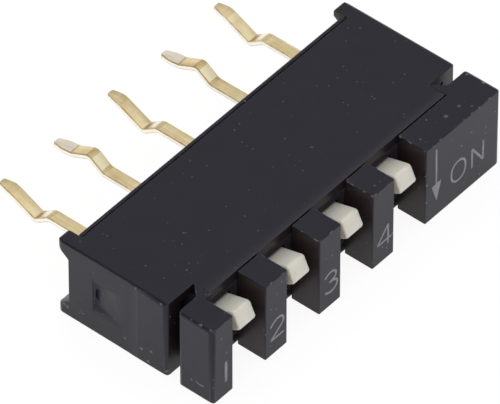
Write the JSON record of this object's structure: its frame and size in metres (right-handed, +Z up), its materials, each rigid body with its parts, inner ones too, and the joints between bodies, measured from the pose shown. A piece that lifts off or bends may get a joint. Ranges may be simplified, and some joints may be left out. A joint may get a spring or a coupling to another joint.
{
  "type": "dip switch",
  "caption": "Side-actuated rocker DIP switch with a black moulded body, ivory levers in open slots and a single row of kinked gilt legs.",
  "frame": {"origin": "centre of the overall box at its lowest face, the part lying on its flat side", "axes": "+X along the row of levers towards the wide marked block, +Y from the levers towards the legs, +Z up out of the flat side"},
  "size_m": [0.0138, 0.01, 0.0031],
  "materials": {
    "black_plastic": "fine moulded texture, slightly glossy in the slots",
    "lever_plastic": "smooth",
    "gilt_leg": "bright gold flash, slightly satin",
    "contact_bronze": "bare spring bronze"
  },
  "bodies": {
    "housing": {"cover": "black_plastic", "front_guide": "black_plastic", "base": "black_plastic", "contact_1": "contact_bronze", "contact_2": "contact_bronze", "contact_3": "contact_bronze", "contact_4": "contact_bronze", "terminal_1": "gilt_leg", "terminal_2": "gilt_leg", "terminal_3": "gilt_leg", "terminal_4": "gilt_leg", "terminal_5": "gilt_leg"},
    "lever_1": {"lever_1": "lever_plastic"},
    "lever_2": {"lever_2": "lever_plastic"},
    "lever_3": {"lever_3": "lever_plastic"},
    "lever_4": {"lever_4": "lever_plastic"}
  },
  "joints": [
    {"name": "lever_1_tilt", "type": "hinge", "parent": "housing", "child": "lever_1", "pos_m": [-0.00508, -0.00293, 0.00157], "axis": [1, 0, 0], "range_deg": [0, 48]},
    {"name": "lever_2_tilt", "type": "hinge", "parent": "housing", "child": "lever_2", "pos_m": [-0.00254, -0.00293, 0.00157], "axis": [1, 0, 0], "range_deg": [0, 48]},
    {"name": "lever_3_tilt", "type": "hinge", "parent": "housing", "child": "lever_3", "pos_m": [0, -0.00293, 0.00157], "axis": [1, 0, 0], "range_deg": [0, 48]},
    {"name": "lever_4_tilt", "type": "hinge", "parent": "housing", "child": "lever_4", "pos_m": [0.00254, -0.00293, 0.00157], "axis": [1, 0, 0], "range_deg": [0, 48]}
  ]
}
